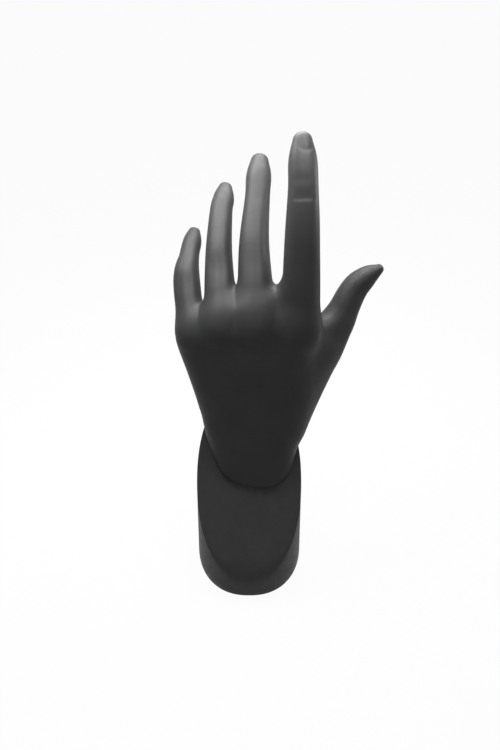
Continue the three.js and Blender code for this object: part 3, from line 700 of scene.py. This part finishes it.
def step_in(past, ramp):
    return hump(past, np.where(past < 0, RELIEF_EDGE, ramp))


def flat_top(past, half):
    return np.exp(-(past / half) ** 4)


def on_the_back(points, joint, along, side, back, reach, girth):
    offset = points - joint
    ahead, aside, above = offset @ along, offset @ side, offset @ back
    near = (np.abs(ahead) < reach) & (np.abs(aside) < SIDE_REACH * girth)
    near &= (above > 0) & (above < BACK_REACH * girth)
    return near, ahead[near], aside[near], np.clip(above[near] / (BACK_START * girth), 0, 1)


def nails_and_folds(points):
    rise = np.zeros(len(points))
    for name, finger in FINGERS.items():
        joints, roll = bones[name], finger["roll"]
        tip = finger["radius"][4]
        along, side, back, length = bone_frame(joints[2], joints[3], roll[4])
        near, ahead, aside, facing = on_the_back(points, joints[2], along, side, back, length + 2 * tip, tip)
        nail_across = (aside - NAIL_OFFSET * tip) / (NAIL_HALF * tip)
        past_nail = ahead - length + NAIL_START * tip - NAIL_BOW * nail_across ** 2
        nail = NAIL_DEPTH * step_in(past_nail, NAIL_RAMP) * flat_top(nail_across, 1)
        crease = CREASE_DEPTH * step_in(ahead - CREASE_PLACE, CREASE_RAMP)
        crease += FOLD_DEPTH * hump(ahead - FOLD_PLACE, FOLD_WIDTH)
        rise[near] -= finger["nail"] * facing * (nail + crease * flat_top(aside, RELIEF_HALF * tip))

        girth = finger["radius"][2]
        along, side, back, length = bone_frame(joints[0], joints[1], SWELL_ROLL * roll[2])
        near, ahead, aside, facing = on_the_back(points, joints[1], along, side, back, length, girth)
        swell_place, hollow_place, relief = finger["swell"]
        swell = SWELL_HEIGHT * hump(ahead - swell_place, SWELL_WIDTH)
        swell -= HOLLOW_DEPTH * hump(ahead - hollow_place, HOLLOW_WIDTH)
        rise[near] += relief * facing * swell * flat_top(aside, RELIEF_HALF * girth)
    return rise


# The wrist's flat end is bored out for the plate, the bolt's head, the stop pin and the plate's screws, each
# with its radius and its depth.
PLATE_POCKET, BOLT_HEAD_POCKET = (15.5, 5.4), (6.2, 9.7)
PIN_POCKET, SCREW_POCKET = (2.5, 9.7), (2.3, 11.6)


def pockets(points):
    out, up = points @ face_out, points @ face_up

    def bored(x, y, radius, depth):
        return np.maximum(np.hypot(points[:, 0] - x, up - y) - radius, out - depth)

    hollow = np.minimum(bored(0, 0, *PLATE_POCKET), bored(0, 0, *BOLT_HEAD_POCKET))
    hollow = np.minimum(hollow, bored(0, GROOVE_PITCH, *PIN_POCKET))
    for x, y, _ in wrist_places:
        hollow = np.minimum(hollow, bored(x, y, *SCREW_POCKET))
    return hollow


# Two forms melt into each other where their surfaces are closer than the width, as soft clay does.
def melt(first, second, width):
    share = np.maximum(width - np.abs(first - second), 0) / width
    return np.minimum(first, second) - share ** 2 * width / 4


def melt_in(skin, forms, points, width):
    for form in forms:
        skin = melt(skin, form(points), width)
    return skin


def hand_field(points):
    thumb = melt_in(thumb_form(points), thumb_flesh_forms, points, THUMB_FLESH_MELT)
    skin = melt(palm_form(points), thumb, THUMB_MELT)
    skin = melt_in(skin, mound_forms, points, MOUND_MELT)
    above_webs = points @ (-WEB_TILT, 0, 1) - WEB_LINE
    root_melt = ROOT_MELT * np.clip(0.5 - above_webs / ROOT_FADE, LEAST_ROOT_MELT, 1)
    fingers = melt_in(finger_forms[0](points), finger_forms[1:], points, root_melt)
    skin = melt(skin, fingers, FINGER_MELT)
    skin = melt_in(skin, web_forms, points, WEB_MELT)
    skin -= nails_and_folds(points)
    skin = -melt(-skin, points @ face_out - WRIST_GAP, WRIST_MELT)
    return np.maximum(skin, -pockets(points))


# The skin is a net of quads with a point in every small cell that the surface passes through. The cells are
# filled in only near the surface, and then the net is evened out and drawn onto it.
SKIN_CELL, SKIN_BLOCK = 0.85, 4
NEAR_SKIN = 1.75
SLOPE_STEP, LEAST_SLOPE = 0.12, 0.05
EVENING_ROUNDS, EVENING_REACH = 2, 0.6
CORNERS = np.array([(corner & 1, corner >> 1 & 1, corner >> 2) for corner in range(8)])
AXIS_BITS = (1, 2, 4)


def filled_in(field, low, high):
    step = SKIN_CELL * SKIN_BLOCK
    blocks = np.ceil((high - low) / step).astype(int)
    shape = blocks * SKIN_BLOCK + 1
    ends = [low[axis] + np.arange(blocks[axis] + 1) * SKIN_CELL * SKIN_BLOCK for axis in range(3)]
    values = field(np.stack(np.meshgrid(*ends, indexing="ij"), -1).reshape(-1, 3)).reshape(blocks + 1)
    wide, deep, tall = blocks
    closest = np.min([np.abs(values[i:wide + i, j:deep + j, k:tall + k]) for i, j, k in CORNERS], axis=0)
    wanted = closest < step * NEAR_SKIN
    for axis in range(3):
        values = np.repeat(values, SKIN_BLOCK, axis)
        wanted = np.repeat(wanted, SKIN_BLOCK, axis)
    values = values[:shape[0], :shape[1], :shape[2]].copy()
    wanted = np.pad(wanted, ((0, 1),) * 3)
    for axis in range(3):
        wanted |= np.roll(wanted, 1, axis)
    places = np.argwhere(wanted)
    values[wanted] = np.concatenate([field(low + part * SKIN_CELL) for part in np.array_split(places, 8)])
    return values


def corner_mask(inside):
    wide, deep, tall = np.array(inside.shape) - 1
    cut = [inside[i:wide + i, j:deep + j, k:tall + k].astype(np.uint8) for i, j, k in CORNERS]
    return sum(corner << n for n, corner in enumerate(cut))


# A cell is tangled where its inner or its outer corners fall into more than one group, which would pinch the
# net. Its corner nearest to the surface then changes sides, until no cell is tangled.
def tangled_masks():
    tangled = []
    for mask in range(256):
        inside = [(mask >> corner) & 1 for corner in range(8)]
        loose = 0
        for kind in (0, 1):
            left = {corner for corner in range(8) if inside[corner] == kind}
            groups = 0
            while left:
                queue = [left.pop()]
                groups += 1
                while queue:
                    corner = queue.pop()
                    joined = {corner ^ bit for bit in AXIS_BITS} & left
                    left -= joined
                    queue += joined
            loose += groups > 1
        for p, q in ((1, 2), (2, 4), (4, 1)):
            for start in (0, 7 - p - q):
                loose += inside[start] == inside[start | p | q] != inside[start | p] == inside[start | q]
        tangled.append(loose > 0)
    return np.array(tangled)


def untangle(values):
    tangled = tangled_masks()
    changed = set()
    while True:
        knots = np.argwhere(tangled[corner_mask(values < 0)])
        if len(knots) == 0:
            return
        for knot in knots:
            around = [tuple(corner) for corner in knot + CORNERS]
            free = [(abs(values[corner]), corner) for corner in around if corner not in changed]
            if free:
                nearest = min(free)[1]
                values[nearest] *= -1
                changed.add(nearest)
            else:
                for corner in around:
                    values[corner] = -abs(values[corner])


def crossing_middles(values, cells):
    level = np.stack([values[tuple((cells + corner).T)] for corner in CORNERS], 1)
    total, count = np.zeros((len(cells), 3)), np.zeros(len(cells))
    for start in range(8):
        for end in [start | bit for bit in AXIS_BITS if not start & bit]:
            a, b = level[:, start], level[:, end]
            crossed = (a < 0) != (b < 0)
            share = np.where(crossed, a / np.where(crossed, a - b, 1), 0)[:, None]
            total += crossed[:, None] * (CORNERS[start] + share * (CORNERS[end] - CORNERS[start]))
            count += crossed
    return total / count[:, None]


def net_quads(inside, number):
    quads = []
    inner = inside[1:-1, 1:-1, 1:-1]
    for axis in range(3):
        p, q = np.eye(3, dtype=int)[(axis + 1) % 3], np.eye(3, dtype=int)[(axis + 2) % 3]
        ahead = np.roll(inside, -1, axis)[1:-1, 1:-1, 1:-1]
        for starts_inside in (True, False):
            edges = np.argwhere((inner == starts_inside) & (ahead != starts_inside)) + 1
            ring = [number[tuple((edges - back).T)] for back in (0 * p, p, p + q, q)]
            quads.append(np.stack(ring if starts_inside else ring[::-1], 1))
    return np.concatenate(quads)


def draw_onto(field, points, reach):
    off = field(points)
    slope = np.stack([field(points + SLOPE_STEP * axis) - off for axis in np.eye(3)], 1) / SLOPE_STEP
    move = -slope * (off / np.maximum((slope ** 2).sum(1), LEAST_SLOPE))[:, None]
    length = np.linalg.norm(move, axis=1)
    return points + move * np.minimum(1, reach / np.maximum(length, 1e-9))[:, None]


def evened_out(field, points, quads):
    sides = np.concatenate([quads[:, [n, (n + 1) % 4]] for n in range(4)])
    pairs = np.unique(np.sort(sides, axis=1), axis=0)
    here, there = np.concatenate([pairs, pairs[:, ::-1]]).T
    degree = np.bincount(here, minlength=len(points))[:, None]
    for _ in range(EVENING_ROUNDS):
        around = np.stack([np.bincount(here, points[there, axis], len(points)) for axis in range(3)], 1)
        points = draw_onto(field, 0.5 * points + 0.5 * around / degree, EVENING_REACH * SKIN_CELL)
    return points


def skin_over(field, low, high):
    values = filled_in(field, low, high)
    untangle(values)
    inside = values < 0
    mask = corner_mask(inside)
    cells = np.argwhere((mask > 0) & (mask < 255))
    points = low + (cells + crossing_middles(values, cells)) * SKIN_CELL
    number = np.full(mask.shape, -1)
    number[tuple(cells.T)] = np.arange(len(cells))
    quads = net_quads(inside, number)
    return evened_out(field, points, quads), quads.tolist()


HAND_CREASE = 60
hand_place = Matrix.Translation(SEAT.translation) @ Matrix.Rotation(-HAND_LEAN, 4, "X")
hand = make_piece("hand_skin", *skin_over(hand_field, HAND_LOW, HAND_HIGH), hand_place, HAND_CREASE)
hand_black = satin_black(
    "hand_satin_black",
    dark=(0.021, 0.021, 0.0215),
    light=(0.028, 0.028, 0.0285),
    roughness=0.5,
    spray_scale=2200,
    specular=0.15,
)
dress(hand, hand_black, "hand", "hand_paint", "hand")


# Studio: a white floor that runs out of view on all sides, a wide soft light close above the fingertips,
# small ones over the thumb and the index finger, a weak one in front, and a camera above the front of the
# stand that looks down on the back of the hand.
FLOOR_HALF = 3000
FLOOR_GLOW, WORLD_LIGHT = 0.96, 0.06
floor_corners = [(x * FLOOR_HALF, y * FLOOR_HALF, 0) for x, y in ((-1, -1), (1, -1), (1, 1), (-1, 1))]
floor = make_piece("floor", floor_corners, [(0, 1, 2, 3)])
white_floor = new_finish("white_floor", roughness=0.9, specular=0.1)
floor.data.materials.append(white_floor)
painted = white_floor.node_tree.nodes["Principled BSDF"]
painted.inputs["Base Color"].default_value = (0.9, 0.9, 0.9, 1)


def seen_directly(finish):
    rays = add_node(finish, "ShaderNodeLightPath").outputs
    seen = rays["Is Camera Ray"]
    for ray in ("Is Glossy Ray", "Is Transmission Ray"):
        seen = add_node(finish, "ShaderNodeMath", [(0, seen), (1, rays[ray])]).outputs[0]
    return seen


glow = spread(white_floor, seen_directly(white_floor), 0, FLOOR_GLOW, 0, 1)
white = add_node(white_floor, "ShaderNodeEmission", Strength=1.0)
shaders = [(0, glow), (1, painted.outputs[0]), (2, white.outputs[0])]
mix = add_node(white_floor, "ShaderNodeMixShader", shaders)
surface = white_floor.node_tree.nodes["Material Output"].inputs["Surface"]
white_floor.node_tree.links.new(mix.outputs[0], surface)

world = bpy.data.worlds.new("studio")
bpy.context.scene.world = world
world.use_nodes = True
backdrop = world.node_tree.nodes["Background"].inputs
backdrop["Color"].default_value = (1, 1, 1, 1)
world.node_tree.links.new(spread(world, seen_directly(world), WORLD_LIGHT, 1, 0, 1), backdrop["Strength"])


def soft_light(name, place, aim, size, power):
    lamp = bpy.data.lights.new(name, "AREA")
    lamp.shape, lamp.size, lamp.size_y, lamp.energy = "RECTANGLE", *size, power
    light = bpy.data.objects.new(name, lamp)
    bpy.context.scene.collection.objects.link(light)
    light.location = place
    light.rotation_euler = (Vector(aim) - Vector(place)).to_track_quat("-Z", "Y").to_euler()


soft_light("over_fingertips", (-0.03, 0.098, 0.285), aim=(-0.015, 0.08, 0.15), size=(0.22, 0.08), power=1.08)
soft_light("over_thumb", (0.105, 0.065, 0.205), aim=(0.068, 0.053, 0.155), size=(0.05, 0.05), power=0.08)
soft_light("over_index", (0.034, 0.034, 0.272), aim=(0.03, 0.055, 0.21), size=(0.06, 0.06), power=0.16)
soft_light("front", (0, -0.55, 0.42), aim=(0, 0.0, 0.06), size=(0.4, 0.4), power=0.5)

camera = bpy.data.objects.new("camera", bpy.data.cameras.new("camera"))
bpy.context.scene.collection.objects.link(camera)
camera.location = (0.0005, -0.3182, 0.3757)
camera.rotation_euler = (radians(52), 0, 0)
camera.data.lens = 38.4
camera.data.sensor_width = 36
camera.data.clip_start = 0.01
bpy.context.scene.camera = camera
bpy.context.scene.view_settings.view_transform = "Standard"
